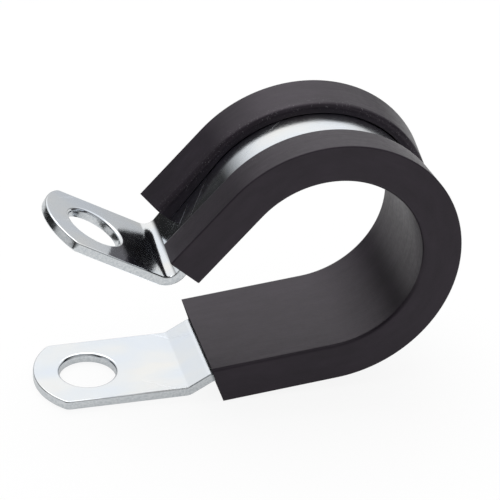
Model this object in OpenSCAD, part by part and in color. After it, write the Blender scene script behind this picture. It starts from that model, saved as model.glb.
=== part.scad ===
// Rubber-lined P clip, open, as it is supplied.
// A flat steel strap is bent into a loop with a holed lug at each end. A rubber channel is
// pushed over the strap: its base lines the loop and its lips fold over the strap's edges.
// The origin is the centre of the lower lug's hole on the lug's underside. Z points up
// through that hole, X points along the strap toward the loop, and Y is the loop's axis.

/* [Strap] */
// Width of the steel strap
strap_w = 12.7; // [10:0.1:15]
// Thickness of the steel strap
strap_t = 1.2; // [0.8:0.1:1.6]

/* [Lugs] */
// Diameter of the hole in each lug
hole_d = 7; // [5:0.1:8.5]
// Rounding of the edge that the punch drew in at each hole
rim_r = 0.2; // [0.1:0.05:0.3]
// Distance from a hole's centre to the tip of its lug
lug_tip = 6.7; // [6:0.1:9]
// Radius of the lug's curved tip
tip_r = 8.4; // [7.8:0.1:12]
// Radius where the tip meets the strap's sides
corner_r = 1; // [0.5:0.1:2]
// Distance from the lower hole to the step
lower_reach = 11; // [9:0.1:16]
// Distance from the upper bend to the upper hole
upper_reach = 8; // [6:0.1:12]

/* [Step] */
// Height that the step lifts the lower arm off the lug
step_rise = 1.7; // [1.5:0.1:3]
// Slope of the step
step_angle = 30; // [24:1:45]
// Inside radius of the step's two bends
step_r = 0.8; // [0.4:0.1:1.2]

/* [Loop] */
// Radius of the rubber-lined bore
loop_r = 11.7; // [9:0.1:20]
// Angle that the loop turns through between its straight arms
loop_turn = 222; // [200:1:228]
// Slope of the lower arm above the lug
arm_rise = 5.9; // [2:0.1:8]
// Length of the straight lower arm
lower_arm = 15; // [12:0.5:24]
// Length of the straight upper arm
upper_arm = 11.1; // [9:0.1:16]
// Angle that the strap's upper arm leans into the rubber's base
lean_angle = 4.5; // [0:0.1:5]
// Angle of the bend between the upper arm and its lug
upper_turn = 82.5; // [60:0.5:90]
// Inside radius of the bend between the upper arm and its lug
upper_r = 1.4; // [0.6:0.1:2]

/* [Rubber] */
// Thickness of the rubber inside the loop
liner_base = 1.85; // [1.2:0.05:3]
// Thickness of the rubber beside the strap's edges
liner_side = 1.9; // [0.8:0.05:2.5]
// Thickness of each lip at its free edge
lip_t = 1.25; // [0.5:0.05:1.5]
// Height that each lip's top climbs from its free edge to the channel's side
lip_climb = 0.5; // [0.2:0.05:1]
// Width of the bare strip of strap between the lips
lip_gap = 5.8; // [3:0.1:8]
// Bare strap between the step and the rubber's lips
lower_bare = 0.1; // [0.1:0.1:2]
// Slant of the rubber's lower end, whose base reaches out past its lips
lower_slant = 12; // [0:1:14]
// Bare strap between the rubber and the upper bend
upper_bare = 1; // [0.5:0.1:4]
// Play between the strap and the rubber
play = 0.05; // [0.02:0.01:0.1]

/* [Hidden] */

$fn = 96;

// Each bend is drawn larger than the straights by this much all round, and each straight
// reaches this far into the bends beside it, so that no two of their faces nearly coincide
swell = 0.005;
tuck = 0.1;

// Radii at the middle of the strap's thickness
step_mid = step_r + strap_t / 2;
upper_mid = upper_r + strap_t / 2;
loop_mid = loop_r + swell + liner_base + play + strap_t / 2;

// Length of the straight part of the step, which makes up the rise that its two bends leave
bends_rise = step_mid * (1 + cos(arm_rise) - 2 * cos(step_angle));
step_len = (step_rise - bends_rise) / sin(step_angle);

// Sides of the rubber channel's section, measured from the middle of a strap without lean
half_w = strap_w / 2 + play + liner_side;
base_top = strap_t / 2 + play + liner_base;
lip_top = strap_t / 2 + play + lip_t;

// Rubber drawn ahead of the lower arm, for the slanted end to be cut from, and the slot's
// start still further ahead
lower_lead = (base_top + strap_t / 2) * tan(lower_slant);
slot_lead = lower_lead + strap_t;

// Length that the lean of the upper arm adds to the strap's part of the loop
lean_len = loop_mid * lean_angle * PI / 180;

// A route is a list of steps [size, turn]. With a turn of 0 the size is a straight length.
// Otherwise it is a radius, and a positive turn bends toward the inside of the loop. A
// straight that ends in the open is listed shorter by the reach that it is drawn with.
step_route = [
    [step_mid, step_angle],
    [step_len, 0],
    [step_mid, arm_rise - step_angle],
];
arms_route = [
    [lower_arm, 0],
    [loop_mid, loop_turn + lean_angle],
    [upper_arm, 0],
    [upper_mid, -upper_turn],
];
liner_route = [
    [lower_lead + lower_arm, 0],
    [loop_mid, loop_turn],
    [lean_len + upper_arm - upper_bare - tuck, 0],
];
slot_route = [
    [slot_lead + lower_arm, 0],
    [loop_mid, loop_turn + lean_angle],
    [upper_arm, 0],
];

// Centres of the tip's own arc and of the arc that rounds each of its corners, which cuts
// just inside both the strap's side and the tip's arc
tip_x = tip_r - lug_tip;
corner_y = strap_w / 2 + swell - corner_r;
corner_x = tip_x - sqrt(pow(tip_r + swell - corner_r, 2) - pow(corner_y, 2));

// Draws a section, whose X is across the strap and whose Y is toward the loop's inside,
// along a straight
module straight(size) {
    $swell = 0;
    translate([-tuck, 0, 0]) rotate([90, 0, 90]) linear_extrude(size + 2 * tuck) children();
}

// Draws the same section around a bend toward the loop's inside
module bend(size, turn) {
    $swell = swell;
    translate([0, 0, size]) rotate([90, 90, 0]) rotate_extrude(angle = turn)
        translate([size, 0]) rotate(90) children();
}

// Draws the section along one step of a route
module run(size, turn) {
    if (turn == 0)
        straight(size) children();
    else if (turn > 0)
        bend(size, turn) children();
    else
        mirror([0, 0, 1]) bend(size, -turn) mirror([0, 1]) children();
}

// Moves its children to the end of one step of a route
module past(size, turn) {
    side = turn < 0 ? -size : size;
    if (turn == 0)
        translate([size, 0, 0]) children();
    else
        translate([0, 0, side]) rotate([0, -turn, 0]) translate([0, 0, -side]) children();
}

// Draws a section along a whole route
module sweep(route, i = 0) {
    if (i < len(route)) {
        run(route[i][0], route[i][1]) children();
        past(route[i][0], route[i][1]) sweep(route, i + 1) children();
    }
}

// Moves its children to the end of a whole route
module beyond(route, i = 0) {
    if (i < len(route))
        past(route[i][0], route[i][1]) beyond(route, i + 1) children();
    else
        children();
}

module strap_section() {
    square([strap_w + 2 * $swell, strap_t + 2 * $swell], center = true);
}

// Rubber channel before its slot and gap are cut. The slopes of its two lips' tops meet above
// the middle of the gap.
module liner_section() {
    side = half_w + $swell;
    top = base_top + $swell;
    lip = lip_top + $swell;
    meet = lip - lip_climb * lip_gap / (2 * side - lip_gap);
    polygon([
        [side, top],
        [side, -lip - lip_climb],
        [0, -meet],
        [-side, -lip - lip_climb],
        [-side, top],
    ]);
}

// Waste inside the rubber channel, where the strap lies and between the two lips
module slot_section() {
    slot = play - $swell;
    gap = lip_gap - 2 * $swell;
    square([strap_w + 2 * slot, strap_t + 2 * slot], center = true);
    translate([-gap / 2, -3 * lip_top]) square([gap, 3 * lip_top]);
}

// Waste outside the rounded corner of a lug's tip, on the side where Y is positive
module corner_waste() {
    reach = 3 * corner_r;
    lean = atan2(corner_y, corner_x - tip_x);
    side = [0, reach];
    tip = reach * [cos(lean), sin(lean)];
    translate([corner_x, corner_y]) difference() {
        polygon([[0, 0], side, side + tip, tip]);
        circle(corner_r);
    }
}

// Waste inside a hole whose upper edge is rounded
module hole_waste() {
    hole_r = hole_d / 2;
    wall = strap_t - rim_r;
    rotate_extrude() difference() {
        translate([0, -strap_t]) square([hole_r + rim_r, 2 * strap_t]);
        translate([hole_r, -strap_t]) square([2 * rim_r, strap_t / 2 + wall]);
        translate([hole_r + rim_r, wall - strap_t / 2]) circle(rim_r);
    }
}

// Lug with its hole's centre at the origin, its tip toward -X and its root at reach. The
// hole's rounded edge is on top.
module lug(reach) {
    difference() {
        translate([0, 0, -strap_t / 2]) linear_extrude(strap_t) difference() {
            intersection() {
                translate([-lug_tip, -strap_w / 2]) square([lug_tip + reach + tuck, strap_w]);
                union() {
                    translate([tip_x, 0]) circle(tip_r);
                    translate([tip_x, -strap_w / 2]) square([lug_tip + reach, strap_w]);
                }
            }
            corner_waste();
            mirror([0, 1]) corner_waste();
        }
        hole_waste();
    }
}

// Bent steel strap with both lugs
module strap() {
    color([0.80, 0.83, 0.86]) translate([0, 0, strap_t / 2]) {
        lug(lower_reach);
        translate([lower_reach, 0, 0]) {
            sweep(step_route) strap_section();
            beyond(step_route) {
                sweep(arms_route) strap_section();
                beyond(arms_route) translate([upper_reach, 0, 0]) rotate([0, 180, 0]) lug(upper_reach);
            }
        }
    }
}

// Waste ahead of the rubber's slanted lower end
module lower_waste() {
    block = 2 * (lower_lead + lower_bare + tuck);
    translate([lower_bare, 0, -strap_t / 2]) rotate([0, -lower_slant, 0])
        translate([-block, -2 * half_w, -2 * base_top]) cube([block, 4 * half_w, 4 * base_top]);
}

// Rubber channel over the strap, from the step to just short of the upper bend
module liner() {
    color([0.14, 0.13, 0.14]) translate([lower_reach, 0, strap_t / 2]) beyond(step_route)
        difference() {
            translate([-lower_lead, 0, 0]) sweep(liner_route) liner_section();
            translate([-slot_lead, 0, 0]) sweep(slot_route) slot_section();
            lower_waste();
        }
}

strap();
liner();
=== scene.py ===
import math
import bmesh
import bpy
from mathutils import Matrix, Vector


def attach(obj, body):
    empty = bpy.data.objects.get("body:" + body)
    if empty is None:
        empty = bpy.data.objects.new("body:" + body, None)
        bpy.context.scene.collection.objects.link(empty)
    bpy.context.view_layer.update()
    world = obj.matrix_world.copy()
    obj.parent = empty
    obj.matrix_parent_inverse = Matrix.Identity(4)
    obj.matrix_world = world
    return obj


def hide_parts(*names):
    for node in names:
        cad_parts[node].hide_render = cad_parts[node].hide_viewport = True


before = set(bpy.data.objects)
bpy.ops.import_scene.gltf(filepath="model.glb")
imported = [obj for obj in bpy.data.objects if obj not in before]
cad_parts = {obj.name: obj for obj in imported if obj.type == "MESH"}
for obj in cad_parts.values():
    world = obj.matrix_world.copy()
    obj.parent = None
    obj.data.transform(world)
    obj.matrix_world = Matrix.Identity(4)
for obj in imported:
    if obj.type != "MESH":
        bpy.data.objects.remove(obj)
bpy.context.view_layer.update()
bpy.ops.object.select_all(action="DESELECT")

# ---- Studio -------------------------------------------------------------------------------
# A pale floor in a white studio that is bright high at the back, fainter at the front and
# dark at the sides, with one soft lamp above and one at the left. The camera stands in front
# of the open mouth and looks down on the clip.
MM = 0.001
aim = Vector((20.32, 0, 15.24)) * MM
camera_left = math.radians(15.824)
camera_up = math.radians(32.111)
camera_roll = math.radians(2.342)
camera_far = 371.67 * MM
turned = (Matrix.Rotation(-camera_left, 4, "Z") @ Matrix.Rotation(math.pi / 2 - camera_up, 4, "X")
          @ Matrix.Rotation(camera_roll, 4, "Z"))
bpy.ops.object.camera_add()
camera = bpy.context.object
camera.matrix_world = Matrix.Translation(aim + turned.to_3x3() @ Vector((0, 0, camera_far))) @ turned
camera.data.lens = 218.4
camera.data.shift_x = -0.00134
camera.data.shift_y = 0.0128
bpy.context.scene.camera = camera
bpy.context.scene.view_settings.view_transform = "Standard"


def soft_light(name, place, size, power):
    """Adds a square soft light at a place, facing the clip."""
    bpy.ops.object.light_add(type="AREA", location=place)
    lamp = bpy.context.object
    lamp.name = name
    lamp.data.size = size
    lamp.data.energy = power
    lamp.rotation_euler = (aim - Vector(place)).to_track_quat("-Z", "Y").to_euler()


soft_light("top_light", (0.05, 0.25, 0.6), 0.5, 1.2)
soft_light("left_light", (-0.55, -0.05, 0.12), 0.4, 0.3)

world = bpy.data.worlds.new("studio")
bpy.context.scene.world = world
world.use_nodes = True
nodes, links = world.node_tree.nodes, world.node_tree.links
nodes.clear()
direction = nodes.new("ShaderNodeTexCoord")
# Each bright side of the room is the direction toward it, how nearly a ray must point there
# for the side to begin and to be full, and its levels outside and inside
bright_sides = [
    ((0.21, 0.6, 1.0), 0.44, 0.93, 0.015, 1.08),
    ((0.2, -1.0, 0.0), 0.35, 0.9, 0, 0.45),
]
levels = []
for toward, begin, full, low, high in bright_sides:
    facing = nodes.new("ShaderNodeVectorMath")
    facing.operation = "DOT_PRODUCT"
    facing.inputs[1].default_value = toward
    links.new(direction.outputs["Generated"], facing.inputs[0])
    falloff = nodes.new("ShaderNodeMapRange")
    falloff.interpolation_type = "SMOOTHSTEP"
    falloff.inputs["From Min"].default_value = begin
    falloff.inputs["From Max"].default_value = full
    falloff.inputs["To Min"].default_value = low
    falloff.inputs["To Max"].default_value = high
    links.new(facing.outputs["Value"], falloff.inputs["Value"])
    levels.append(falloff.outputs[0])
both = nodes.new("ShaderNodeMath")
links.new(levels[0], both.inputs[0])
links.new(levels[1], both.inputs[1])
room = nodes.new("ShaderNodeBackground")
room.inputs["Color"].default_value = (1, 1, 1, 1)
links.new(both.outputs[0], room.inputs["Strength"])
white = nodes.new("ShaderNodeBackground")
white.inputs["Color"].default_value = (1, 1, 1, 1)
path = nodes.new("ShaderNodeLightPath")
seen = nodes.new("ShaderNodeMixShader")
links.new(path.outputs["Is Camera Ray"], seen.inputs[0])
links.new(room.outputs[0], seen.inputs[1])
links.new(white.outputs[0], seen.inputs[2])
surface = nodes.new("ShaderNodeOutputWorld")
links.new(seen.outputs[0], surface.inputs[0])

# Shares of the floor's plain white glow that the camera and the metal see in place of its paint
camera_share = 0.8
metal_share = 0.42
glow_level = 1.12
bpy.ops.mesh.primitive_plane_add(size=1.2, location=(0.52, 0, -0.06 * MM))
floor = bpy.context.object
floor.name = "floor"
floor_paint = bpy.data.materials.new("floor_paint")
floor_paint.use_nodes = True
nodes, links = floor_paint.node_tree.nodes, floor_paint.node_tree.links
paint = nodes["Principled BSDF"]
paint.inputs["Base Color"].default_value = (0.6, 0.6, 0.6, 1)
paint.inputs["Roughness"].default_value = 0.9
paint.inputs["Specular IOR Level"].default_value = 0
glow = nodes.new("ShaderNodeEmission")
glow.inputs["Strength"].default_value = glow_level
path = nodes.new("ShaderNodeLightPath")
to_camera = nodes.new("ShaderNodeMath")
to_camera.operation = "MULTIPLY"
to_camera.inputs[1].default_value = camera_share
links.new(path.outputs["Is Camera Ray"], to_camera.inputs[0])
share = nodes.new("ShaderNodeMath")
share.operation = "MULTIPLY_ADD"
share.inputs[1].default_value = metal_share
links.new(path.outputs["Is Glossy Ray"], share.inputs[0])
links.new(to_camera.outputs[0], share.inputs[2])
seen = nodes.new("ShaderNodeMixShader")
links.new(share.outputs[0], seen.inputs[0])
links.new(paint.outputs[0], seen.inputs[1])
links.new(glow.outputs[0], seen.inputs[2])
links.new(seen.outputs[0], nodes["Material Output"].inputs[0])
floor.data.materials.append(floor_paint)

# ---- Strap --------------------------------------------------------------------------------
# One strip of bright zinc-plated steel. Both ends are punched to a rounded tip with a screw
# hole while the strip is flat, and then it is bent over formers into step, loop and lug.
strap_w = 12.7 * MM
strap_t = 1.2 * MM
hole_r = 3.5 * MM
# Roundings of a hole's upper rim, of its lower rim and of the strip's own edges
hole_rim = 0.4 * MM
hole_back = 0.08 * MM
strap_edge = 0.2 * MM
# Distance from a hole's centre to the tip, the tip's radius, and the cut that rounds its corners
lug_tip = 6.7 * MM
tip_r = 8.4 * MM
corner_cut = 0.37 * MM
# Distances from the holes to the step and to the upper bend
lower_reach = 11.0 * MM
upper_reach = 8.0 * MM
# Bend radii are at the middle of the strap's thickness, and angles are in degrees. The upper
# arm leans into the rubber, so the strap's loop turns that much further than the rubber's.
step_rise = 1.7 * MM
step_mid = 1.4 * MM
step_angle = 30
arm_rise = 5.9
lower_arm = 15.0 * MM
loop_mid = 14.205 * MM
loop_turn = 222
lean_angle = 4.5
upper_arm = 11.1 * MM
upper_mid = 2.0 * MM
upper_turn = 82.5
# The straight part of the step makes up the rise that its two bends leave
bends_rise = step_mid * (1 + math.cos(math.radians(arm_rise)) - 2 * math.cos(math.radians(step_angle)))
step_len = (step_rise - bends_rise) / math.sin(math.radians(step_angle))
# Each step of the route that the strap follows from tip to tip, along the middle of its
# thickness: a straight's length or a bend's radius, then the bend's turn, and its stations
strap_route = [
    (lug_tip + lower_reach, 0, 1),
    (step_mid, step_angle, 10),
    (step_len, 0, 1),
    (step_mid, arm_rise - step_angle, 8),
    (lower_arm, 0, 1),
    (loop_mid, loop_turn + lean_angle, 113),
    (upper_arm, 0, 1),
    (upper_mid, -upper_turn, 26),
    (upper_reach + lug_tip, 0, 1),
]


def walk(route, x, z, heading):
    """Follows a route from a place and a heading, and gives each station's distance and place."""
    far = 0.0
    stations = [(far, x, z)]
    for size, turn, count in route:
        part = math.radians(turn) / count
        for _ in range(count):
            chord = 2 * size * math.sin(abs(part) / 2) if turn else size / count
            x += chord * math.cos(heading + part / 2)
            z += chord * math.sin(heading + part / 2)
            heading += part
            far += chord
            stations.append((far, x, z))
    return stations


def add_former(stations):
    """Makes the line through the stations that a flat piece is bent along."""
    former = bpy.data.objects.new("former", bpy.data.curves.new("former", "CURVE"))
    bpy.context.collection.objects.link(former)
    former.data.dimensions = "3D"
    former.data.twist_mode = "MINIMUM"
    line = former.data.splines.new("POLY")
    line.points.add(len(stations) - 1)
    for point, (far, x, z) in zip(line.points, stations):
        point.co = (x, 0, z, 1)
    return former


def edit(piece):
    """Opens a piece for editing with nothing selected."""
    bpy.ops.object.select_all(action="DESELECT")
    piece.select_set(True)
    bpy.context.view_layer.objects.active = piece
    bpy.ops.object.mode_set(mode="EDIT")
    bpy.ops.mesh.select_all(action="DESELECT")


def pick(piece, kind, test):
    """Selects the piece's vertices, edges or faces whose middles pass a test."""
    bpy.ops.mesh.select_all(action="DESELECT")
    bpy.ops.mesh.select_mode(type=kind)
    mesh = bmesh.from_edit_mesh(piece.data)
    if kind == "VERT":
        for vert in mesh.verts:
            vert.select_set(test(vert.co))
    elif kind == "EDGE":
        for side in mesh.edges:
            start, end = side.verts[0].co, side.verts[1].co
            side.select_set(test((start + end) / 2, end - start))
    else:
        for face in mesh.faces:
            face.select_set(test(face.calc_center_median(), face.normal))
    mesh.select_flush_mode()
    bmesh.update_edit_mesh(piece.data)


def cut_at(stations):
    """Cuts a flat piece across at each station, so that it bends there."""
    for far, x, z in stations[1:-1]:
        bpy.ops.mesh.select_all(action="SELECT")
        bpy.ops.mesh.bisect(plane_co=(far, 0, 0), plane_no=(1, 0, 0))


def second_finish(piece, test):
    """Gives a piece two material slots and puts the faces that pass a test into the second."""
    bpy.ops.object.material_slot_add()
    bpy.ops.object.material_slot_add()
    pick(piece, "FACE", test)
    bpy.ops.object.material_slot_assign()


def bend_round(piece, former):
    """Keeps a flat piece's places for its finish, bends it along a former and smooths it."""
    flat = piece.data.attributes.new("flat_place", "FLOAT_VECTOR", "POINT")
    for vert, place in zip(piece.data.vertices, flat.data):
        place.vector = vert.co / MM
    bend = piece.modifiers.new("bend", "CURVE")
    bend.object = former
    bend.deform_axis = "POS_X"
    bpy.ops.object.modifier_apply(modifier="bend")
    bpy.data.objects.remove(former)
    bpy.ops.object.shade_smooth_by_angle(angle=math.radians(40))
    even = piece.modifiers.new("even", "WEIGHTED_NORMAL")
    even.keep_sharp = True
    bpy.ops.object.modifier_apply(modifier="even")


strap_stations = walk(strap_route, -lug_tip, strap_t / 2, 0.0)
blank = strap_stations[-1][0]
# Places nearer to each other than this count as one
near = 0.01 * MM

# The flat blank: one tip out of a disc, its mirror image at the other end, and a bridge
bpy.ops.mesh.primitive_circle_add(vertices=88, radius=tip_r, fill_type="NGON", location=(tip_r, 0, 0))
strap = bpy.context.object
strap.name = "strap_steel"
bpy.ops.object.transform_apply(location=True)
edit(strap)
for side in (-1, 1):
    bpy.ops.mesh.select_all(action="SELECT")
    bpy.ops.mesh.bisect(plane_co=(0, side * strap_w / 2, 0), plane_no=(0, side, 0), clear_outer=True)
bpy.ops.mesh.select_all(action="SELECT")
bpy.ops.mesh.bisect(plane_co=(tip_r, 0, 0), plane_no=(1, 0, 0), clear_outer=True)
bpy.ops.mesh.select_all(action="SELECT")
bpy.ops.mesh.remove_doubles(threshold=0.02 * MM)
corner_x = tip_r - math.sqrt(tip_r ** 2 - strap_w ** 2 / 4)
pick(strap, "VERT", lambda p: abs(p.x - corner_x) < 0.05 * MM and abs(abs(p.y) - strap_w / 2) < 0.05 * MM)
bpy.ops.mesh.bevel(offset=corner_cut, segments=5, affect="VERTICES")
bpy.ops.mesh.select_all(action="SELECT")
bpy.ops.mesh.duplicate()
bpy.ops.transform.mirror(constraint_axis=(True, False, False), center_override=(blank / 2, 0, 0))
bpy.ops.mesh.flip_normals()
pick(strap, "EDGE", lambda p, run: abs(run.x) < 1e-7
     and abs(p.x - blank / 2) < blank / 2 - tip_r + near)
bpy.ops.mesh.bridge_edge_loops()
bpy.ops.mesh.select_all(action="SELECT")
bpy.ops.mesh.remove_doubles(threshold=0.001 * MM)
bpy.ops.mesh.extrude_region_move(TRANSFORM_OT_translate={"value": (0, 0, strap_t)})
bpy.ops.mesh.select_all(action="SELECT")
bpy.ops.transform.translate(value=(0, 0, -strap_t / 2))
bpy.ops.mesh.normals_make_consistent(inside=False)
bpy.ops.object.mode_set(mode="OBJECT")

# Each hole is punched from the side that ends on top, where its rim is drawn in round
for far, rounded in ((lug_tip, 1), (blank - lug_tip, -1)):
    bpy.ops.object.select_all(action="DESELECT")
    bpy.ops.mesh.primitive_cylinder_add(vertices=96, radius=hole_r, depth=3 * strap_t,
                                        location=(far, 0, 0))
    punch = bpy.context.object
    bpy.context.view_layer.objects.active = strap
    hole = strap.modifiers.new("hole", "BOOLEAN")
    hole.object = punch
    hole.operation = "DIFFERENCE"
    hole.solver = "EXACT"
    bpy.ops.object.modifier_apply(modifier="hole")
    bpy.data.objects.remove(punch)
    edit(strap)
    pick(strap, "EDGE", lambda p, run: abs(run.z) < 1e-7 and p.z * rounded > 0.4 * strap_t
         and abs(math.hypot(p.x - far, p.y) - hole_r) < 0.03 * MM)
    bpy.ops.mesh.bevel(offset=hole_rim, segments=6, affect="EDGES")
    pick(strap, "EDGE", lambda p, run: abs(run.z) < 1e-7 and p.z * rounded < -0.4 * strap_t
         and abs(math.hypot(p.x - far, p.y) - hole_r) < 0.03 * MM)
    bpy.ops.mesh.bevel(offset=hole_back, segments=2, affect="EDGES")
    bpy.ops.object.mode_set(mode="OBJECT")


def from_tip(p):
    """Gives how far a place lies from the nearer end of the blank."""
    return min(p.x, blank - p.x)


# Past this distance from a hole's centre an edge is the lug's outline and not the hole's
outline_from = 5.5 * MM
edit(strap)
pick(strap, "EDGE", lambda p, run: abs(run.z) < 1e-7 and abs(p.z) > 0.45 * strap_t and (
    abs(p.y) > strap_w / 2 - near
    or from_tip(p) < tip_r and math.hypot(from_tip(p) - lug_tip, p.y) > outline_from))
bpy.ops.mesh.bevel(offset=strap_edge, segments=3, affect="EDGES")
cut_at(strap_stations)
second_finish(strap, lambda p, n: abs(n.z) < 0.3)
bpy.ops.object.mode_set(mode="OBJECT")
bend_round(strap, add_former(strap_stations))

# Fine uneven spots that lie on the flat piece, so that they follow it round its bends
grain = bpy.data.node_groups.new("grain", "ShaderNodeTree")
for label, kind in (("Spot", "Float"), ("Detail", "Float"), ("Stretch", "Vector"), ("Turn", "Float")):
    grain.interface.new_socket(label, in_out="INPUT", socket_type="NodeSocket" + kind)
grain.interface.new_socket("Spots", in_out="OUTPUT", socket_type="NodeSocketFloat")
nodes, links = grain.nodes, grain.links
values = nodes.new("NodeGroupInput")
place = nodes.new("ShaderNodeAttribute")
place.attribute_name = "flat_place"
turned = nodes.new("ShaderNodeVectorRotate")
turned.rotation_type = "Z_AXIS"
links.new(place.outputs["Vector"], turned.inputs["Vector"])
links.new(values.outputs["Turn"], turned.inputs["Angle"])
stretched = nodes.new("ShaderNodeVectorMath")
stretched.operation = "MULTIPLY"
links.new(turned.outputs[0], stretched.inputs[0])
links.new(values.outputs["Stretch"], stretched.inputs[1])
per_mm = nodes.new("ShaderNodeMath")
per_mm.operation = "DIVIDE"
per_mm.inputs[0].default_value = 1
links.new(values.outputs["Spot"], per_mm.inputs[1])
noise = nodes.new("ShaderNodeTexNoise")
links.new(stretched.outputs[0], noise.inputs["Vector"])
links.new(per_mm.outputs[0], noise.inputs["Scale"])
links.new(values.outputs["Detail"], noise.inputs["Detail"])
result = nodes.new("NodeGroupOutput")
links.new(noise.outputs["Fac"], result.inputs["Spots"])

zinc = bpy.data.materials.new("bright_zinc")
zinc.use_nodes = True
nodes, links = zinc.node_tree.nodes, zinc.node_tree.links
steel = nodes["Principled BSDF"]
steel.inputs["Metallic"].default_value = 1


def pattern(spot, detail, stretch=(1, 1, 1), turn=0.0):
    """Adds the grain to the open material with its own spot size in mm and its stretch."""
    spots = nodes.new("ShaderNodeGroup")
    spots.node_tree = grain
    spots.inputs["Spot"].default_value = spot
    spots.inputs["Detail"].default_value = detail
    spots.inputs["Stretch"].default_value = stretch
    spots.inputs["Turn"].default_value = turn
    return spots.outputs["Spots"]


def spread(value, low, high, out_low, out_high):
    """Maps a value's range low to high onto another range in the open material."""
    mapped = nodes.new("ShaderNodeMapRange")
    mapped.inputs["From Min"].default_value = low
    mapped.inputs["From Max"].default_value = high
    mapped.inputs["To Min"].default_value = out_low
    mapped.inputs["To Max"].default_value = out_high
    links.new(value, mapped.inputs["Value"])
    return mapped.outputs[0]


def join(first, second, how):
    """Adds or multiplies two values in the open material."""
    joined = nodes.new("ShaderNodeMath")
    joined.operation = how
    links.new(first, joined.inputs[0])
    links.new(second, joined.inputs[1])
    return joined.outputs[0]


tint = nodes.new("ShaderNodeValToRGB")
tint.color_ramp.elements[0].position = 0.3
tint.color_ramp.elements[0].color = (0.70, 0.75, 0.82, 1)
tint.color_ramp.elements[1].position = 0.72
tint.color_ramp.elements[1].color = (0.79, 0.79, 0.775, 1)
middle = tint.color_ramp.elements.new(0.5)
middle.color = (0.73, 0.765, 0.80, 1)
links.new(pattern(5.0, 3, (0.5, 1, 1)), tint.inputs[0])
links.new(tint.outputs[0], steel.inputs["Base Color"])
cloud = spread(pattern(2.5, 5), 0.3, 0.7, 0.0, 0.05)
lines = spread(pattern(0.12, 3, (0.03, 1, 1)), 0.35, 0.65, 0.07, 0.1)
scuffs = spread(pattern(0.5, 2, (0.04, 1, 1), 0.6), 0.68, 0.72, 0, 0.15)
place = nodes.new("ShaderNodeAttribute")
place.attribute_name = "flat_place"
along = nodes.new("ShaderNodeSeparateXYZ")
links.new(place.outputs["Vector"], along.inputs[0])
# The formers rub the strip duller up to the upper bend, and the upper lug keeps its shine
rubbed_end = blank / MM - 18
rubbed = spread(along.outputs["X"], rubbed_end - 3, rubbed_end, 0.06, 0)
links.new(join(join(cloud, lines, "ADD"), join(scuffs, rubbed, "ADD"), "ADD"), steel.inputs["Roughness"])
bumps = nodes.new("ShaderNodeBump")
bumps.inputs["Strength"].default_value = 0.06
bumps.inputs["Distance"].default_value = 0.05 * MM
links.new(join(pattern(0.1, 2, (0.05, 1, 1)), pattern(0.3, 4), "ADD"), bumps.inputs["Height"])
links.new(bumps.outputs[0], steel.inputs["Normal"])
strap.material_slots[0].material = zinc

sheared = bpy.data.materials.new("sheared_zinc")
sheared.use_nodes = True
nodes, links = sheared.node_tree.nodes, sheared.node_tree.links
steel = nodes["Principled BSDF"]
steel.inputs["Metallic"].default_value = 1
tint = nodes.new("ShaderNodeValToRGB")
tint.color_ramp.elements[0].position = 0.35
tint.color_ramp.elements[0].color = (0.64, 0.68, 0.71, 1)
tint.color_ramp.elements[1].position = 0.6
tint.color_ramp.elements[1].color = (0.79, 0.82, 0.84, 1)
links.new(pattern(0.3, 3), tint.inputs[0])
links.new(tint.outputs[0], steel.inputs["Base Color"])
links.new(spread(pattern(0.6, 3), 0.3, 0.7, 0.16, 0.26), steel.inputs["Roughness"])
bumps = nodes.new("ShaderNodeBump")
bumps.inputs["Strength"].default_value = 0.12
bumps.inputs["Distance"].default_value = 0.05 * MM
links.new(pattern(0.15, 3), bumps.inputs["Height"])
links.new(bumps.outputs[0], steel.inputs["Normal"])
strap.material_slots[1].material = sheared
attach(strap, "root")
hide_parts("strap")

# ---- Liner --------------------------------------------------------------------------------
# An extruded channel of black rubber, cut to length and pushed over the strap from its open
# end. Its base lines the loop, and its two lips fold over the strap's edges and grip it.
play = 0.05 * MM
liner_base = 1.85 * MM
liner_side = 1.9 * MM
# Lips: thickness at the free edge, climb of their tops toward the sides, and gap between them
lip_t = 1.25 * MM
lip_climb = 0.5 * MM
lip_gap = 5.8 * MM
# Roundings along the channel
base_corner = 0.45 * MM
lip_corner = 0.2 * MM
lip_edge = 0.6 * MM
lip_inner_edge = 0.15 * MM
# Ends: rubber drawn ahead of the lower arm for the slanted cut, bare strap left at each end,
# and the slants of the lower end and of the far lip's upper end
liner_lead = 1.0 * MM
lower_bare = 0.1 * MM
upper_bare = 1.0 * MM
lower_slant = math.radians(12)
lip_slant = math.radians(11)
# Half sizes of the slot round the strap, and the channel's sides seen from the strap's middle
slot_y = strap_w / 2 + play
slot_z = strap_t / 2 + play
half_w = slot_y + liner_side
base_top = slot_z + liner_base
lip_top = slot_z + lip_t
before_arm = sum(count for size, turn, count in strap_route[:4])
arm_x, arm_z = strap_stations[before_arm][1:]
rise = math.radians(arm_rise)
lean_x = loop_mid * math.sin(math.radians(lean_angle))
lean_z = loop_mid - loop_mid * math.cos(math.radians(lean_angle))
upper_run = loop_mid * math.radians(lean_angle) + upper_arm - upper_bare
# The rubber's own route, where the upper arm doesn't lean
liner_route = [
    (liner_lead + lower_arm, 0, 1),
    (loop_mid, loop_turn, 111),
    (lean_x, 0, 1),
    (upper_run - lean_x, 0, 1),
]
liner_stations = walk(liner_route, arm_x - liner_lead * math.cos(rise),
                      arm_z - liner_lead * math.sin(rise), rise)
liner_len = liner_stations[-1][0]

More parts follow.
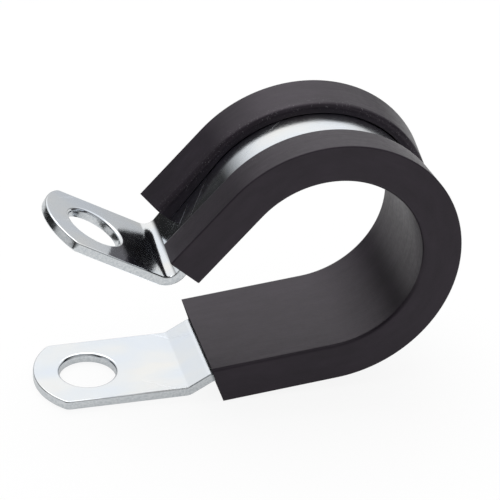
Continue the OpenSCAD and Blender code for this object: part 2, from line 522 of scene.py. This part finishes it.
bpy.ops.object.select_all(action="DESELECT")
bpy.ops.mesh.primitive_cube_add(size=1, location=(liner_len / 2, 0, (slot_z + base_top) / 2))
liner = bpy.context.object
liner.name = "liner_rubber"
liner.scale = (liner_len, 2 * half_w, base_top - slot_z)
bpy.ops.object.transform_apply(location=True, scale=True)
edit(liner)
for side in (-1, 1):
    bpy.ops.mesh.select_all(action="SELECT")
    bpy.ops.mesh.bisect(plane_co=(0, side * slot_y, 0), plane_no=(0, 1, 0))
pick(liner, "FACE", lambda p, n: n.z < -0.9 and abs(p.y) > slot_y)
bpy.ops.mesh.extrude_region_move(TRANSFORM_OT_translate={"value": (0, 0, -2 * slot_z)})
bpy.ops.mesh.extrude_region_move(TRANSFORM_OT_translate={"value": (0, 0, slot_z - lip_top)})
for side in (-1, 1):
    pick(liner, "FACE", lambda p, n: n.y * side < -0.9 and p.y * side > 0 and p.z < -slot_z)
    inward = side * (lip_gap / 2 - slot_y)
    bpy.ops.mesh.extrude_region_move(TRANSFORM_OT_translate={"value": (0, inward, 0)})
pick(liner, "VERT", lambda p: p.z < -0.99 * lip_top and abs(p.y) > 0.99 * half_w)
bpy.ops.transform.translate(value=(0, 0, -lip_climb))
pick(liner, "VERT", lambda p: p.z < -0.99 * lip_top and abs(abs(p.y) - slot_y) < near)
bpy.ops.transform.translate(value=(0, 0, -lip_climb * (slot_y - lip_gap / 2) / (half_w - lip_gap / 2)))
bpy.ops.mesh.select_all(action="SELECT")
bpy.ops.mesh.normals_make_consistent(inside=False)
for inner, radius in ((1, base_corner), (-1, lip_corner)):
    pick(liner, "EDGE", lambda p, run: abs(run.x) > liner_len / 2
         and abs(p.y) > 0.99 * half_w and p.z * inner > 0)
    bpy.ops.mesh.bevel(offset=radius, segments=5, affect="EDGES")
pick(liner, "EDGE", lambda p, run: abs(run.x) > liner_len / 2 and abs(abs(p.y) - lip_gap / 2) < near
     and p.z < -lip_top + 0.1 * MM)
bpy.ops.mesh.bevel(offset=lip_edge, segments=6, affect="EDGES")
pick(liner, "EDGE", lambda p, run: abs(run.x) > liner_len / 2 and abs(abs(p.y) - lip_gap / 2) < near
     and p.z > -slot_z - 0.1 * MM)
bpy.ops.mesh.bevel(offset=lip_inner_edge, segments=3, affect="EDGES")
bpy.ops.mesh.select_all(action="SELECT")
bpy.ops.mesh.bisect(plane_co=(liner_lead + lower_bare, 0, -strap_t / 2), use_fill=True, clear_inner=True,
                    plane_no=(math.cos(lower_slant), 0, math.sin(lower_slant)))
cut_at(liner_stations)
# The slot leans into the base at the upper end, where the strap lies in it
lean_end = lean_z + (upper_run - lean_x) * math.tan(math.radians(lean_angle))
for far, lean in ((liner_stations[-2][0], lean_z), (liner_len, lean_end)):
    pick(liner, "VERT", lambda p: abs(p.x - far) < near and abs(p.y) < 1.01 * slot_y
         and -slot_z - 0.25 * MM < p.z < 1.01 * slot_z)
    bpy.ops.transform.translate(value=(0, 0, lean))
pick(liner, "VERT", lambda p: abs(p.x - liner_len) < near
     and p.y > 0.9 * lip_gap / 2 and p.z < lean_end - 0.6 * slot_z)
bpy.ops.transform.rotate(value=lip_slant, orient_axis="Z", center_override=(liner_len, half_w, 0))
second_finish(liner, lambda p, n: abs(n.x) > 0.9)
bpy.ops.object.mode_set(mode="OBJECT")
bend_round(liner, add_former(liner_stations))

rubber = bpy.data.materials.new("black_rubber")
rubber.use_nodes = True
nodes, links = rubber.node_tree.nodes, rubber.node_tree.links
skin = nodes["Principled BSDF"]
skin.inputs["Specular IOR Level"].default_value = 0.4
skin.inputs["Specular Tint"].default_value = (1.0, 0.9, 1.0, 1)
shade = nodes.new("ShaderNodeValToRGB")
shade.color_ramp.elements[0].position = 0.3
shade.color_ramp.elements[0].color = (0.0128, 0.0100, 0.0148, 1)
shade.color_ramp.elements[1].position = 0.75
shade.color_ramp.elements[1].color = (0.0245, 0.0188, 0.0272, 1)
links.new(pattern(1.5, 6, (0.4, 1, 1)), shade.inputs[0])
place = nodes.new("ShaderNodeAttribute")
place.attribute_name = "flat_place"
spot = nodes.new("ShaderNodeSeparateXYZ")
links.new(place.outputs["Vector"], spot.inputs[0])
# Fine dust clings to the lips beside the gap
off_middle = nodes.new("ShaderNodeMath")
off_middle.operation = "ABSOLUTE"
links.new(spot.outputs["Y"], off_middle.inputs[0])
by_gap = join(spread(off_middle.outputs[0], 3.2, 4.6, 1, 0),
              spread(spot.outputs["Z"], -1.2, -0.8, 1, 0), "MULTIPLY")
specks = join(spread(pattern(0.16, 2), 0.64, 0.7, 0, 1), by_gap, "MULTIPLY")
dusty = nodes.new("ShaderNodeMix")
dusty.data_type = "RGBA"
links.new(specks, dusty.inputs["Factor"])
links.new(shade.outputs[0], dusty.inputs["A"])
dusty.inputs["B"].default_value = (0.16, 0.155, 0.165, 1)
links.new(dusty.outputs["Result"], skin.inputs["Base Color"])
satin = spread(pattern(0.6, 5), 0.3, 0.7, 0.3, 0.38)
drawn = spread(pattern(0.4, 3, (0.05, 1, 1)), 0.35, 0.65, 0, 0.06)
links.new(join(satin, drawn, "ADD"), skin.inputs["Roughness"])
bumps = nodes.new("ShaderNodeBump")
bumps.inputs["Strength"].default_value = 0.15
bumps.inputs["Distance"].default_value = 0.05 * MM
links.new(join(pattern(0.15, 3, (0.1, 1, 1)), pattern(0.25, 6), "ADD"), bumps.inputs["Height"])
links.new(bumps.outputs[0], skin.inputs["Normal"])
liner.material_slots[0].material = rubber

sawn = bpy.data.materials.new("sawn_rubber")
sawn.use_nodes = True
nodes, links = sawn.node_tree.nodes, sawn.node_tree.links
skin = nodes["Principled BSDF"]
skin.inputs["Specular IOR Level"].default_value = 0.1
skin.inputs["Roughness"].default_value = 0.85
shade = nodes.new("ShaderNodeValToRGB")
shade.color_ramp.elements[0].color = (0.008, 0.007, 0.009, 1)
shade.color_ramp.elements[1].color = (0.02, 0.018, 0.022, 1)
links.new(pattern(0.3, 4), shade.inputs[0])
links.new(shade.outputs[0], skin.inputs["Base Color"])
liner.material_slots[1].material = sawn
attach(liner, "root")
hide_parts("liner")
